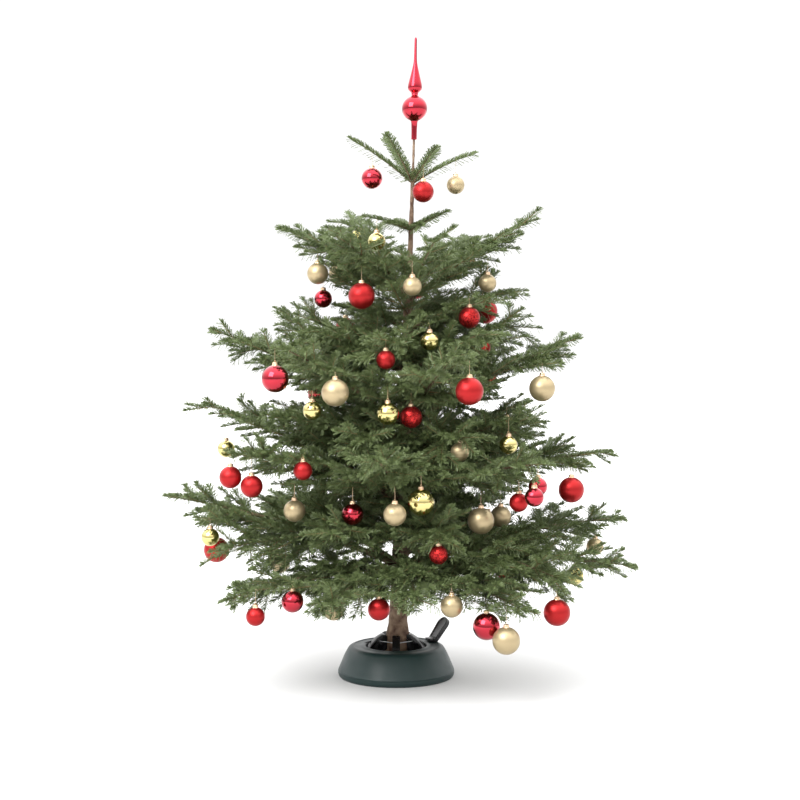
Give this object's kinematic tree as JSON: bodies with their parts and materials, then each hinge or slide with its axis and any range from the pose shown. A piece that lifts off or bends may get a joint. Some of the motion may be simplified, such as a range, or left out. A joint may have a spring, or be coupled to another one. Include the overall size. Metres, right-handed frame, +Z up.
{
  "type": "cut fir christmas tree in a cable clamp stand",
  "caption": "Decorated cut fir with tiered boughs, glass balls and a glass spire, clamped in a round stand with a foot pedal.",
  "frame": {"origin": "centre of the stand's flat underside, on the floor", "axes": "+Z up along the tree's height, -Y towards the front, +X to the right seen from the front"},
  "size_m": [1.4815, 1.2575, 2.003],
  "materials": {
    "bark": "rough bark",
    "needles": "waxy needles",
    "stand_green": "satin moulded plastic",
    "stand_black": "semi-gloss moulded plastic",
    "steel_cable": "drawn wire",
    "red_glass": "silvered and lacquered inside, glossy",
    "red_glass_matte": "satin lacquer",
    "gold_glass": "silvered, glossy",
    "champagne_glass": "satin lacquer",
    "ball_cap": "stamped thin sheet"
  },
  "bodies": {
    "root": {"trunk": "bark", "finial": "red_glass", "limb_middle_1": "bark", "limb_middle_2": "bark", "limb_middle_3": "bark", "limb_middle_4": "bark", "limb_middle_5": "bark", "limb_middle_6": "bark", "limb_base_1": "bark", "limb_base_2": "bark", "limb_base_3": "bark", "limb_base_4": "bark", "limb_base_5": "bark", "limb_base_6": "bark", "limb_base_7": "bark", "limb_base_8": "bark", "limb_base_9": "bark", "foliage_high_1": "needles", "foliage_high_2": "needles", "foliage_high_3": "needles", "foliage_high_4": "needles", "foliage_high_5": "needles", "foliage_high_6": "needles", "foliage_middle_1": "needles", "foliage_middle_2": "needles", "foliage_middle_3": "needles", "foliage_middle_4": "needles", "foliage_middle_5": "needles", "foliage_middle_6": "needles", "foliage_low_1": "needles", "foliage_low_2": "needles", "foliage_low_3": "needles", "foliage_low_4": "needles", "foliage_low_5": "needles", "foliage_low_6": "needles", "foliage_low_7": "needles", "foliage_base_1": "needles", "foliage_base_2": "needles", "foliage_base_3": "needles", "foliage_base_4": "needles", "foliage_base_5": "needles", "foliage_base_6": "needles", "foliage_base_7": "needles", "foliage_base_8": "needles", "foliage_base_9": "needles", "foliage_top": "needles", "foliage_shoulder": "needles", "foliage_waist": "needles", "foliage_chest": "needles", "foliage_heart": "needles", "foliage_skirt": "needles", "stand_basin": "stand_green", "stand_claw_1": "stand_black", "stand_claw_2": "stand_black", "stand_claw_3": "stand_black", "stand_claw_4": "stand_black", "stand_claw_5": "stand_black", "stand_cable": "steel_cable", "stand_pedal": "stand_black"}
  },
  "joints": []
}
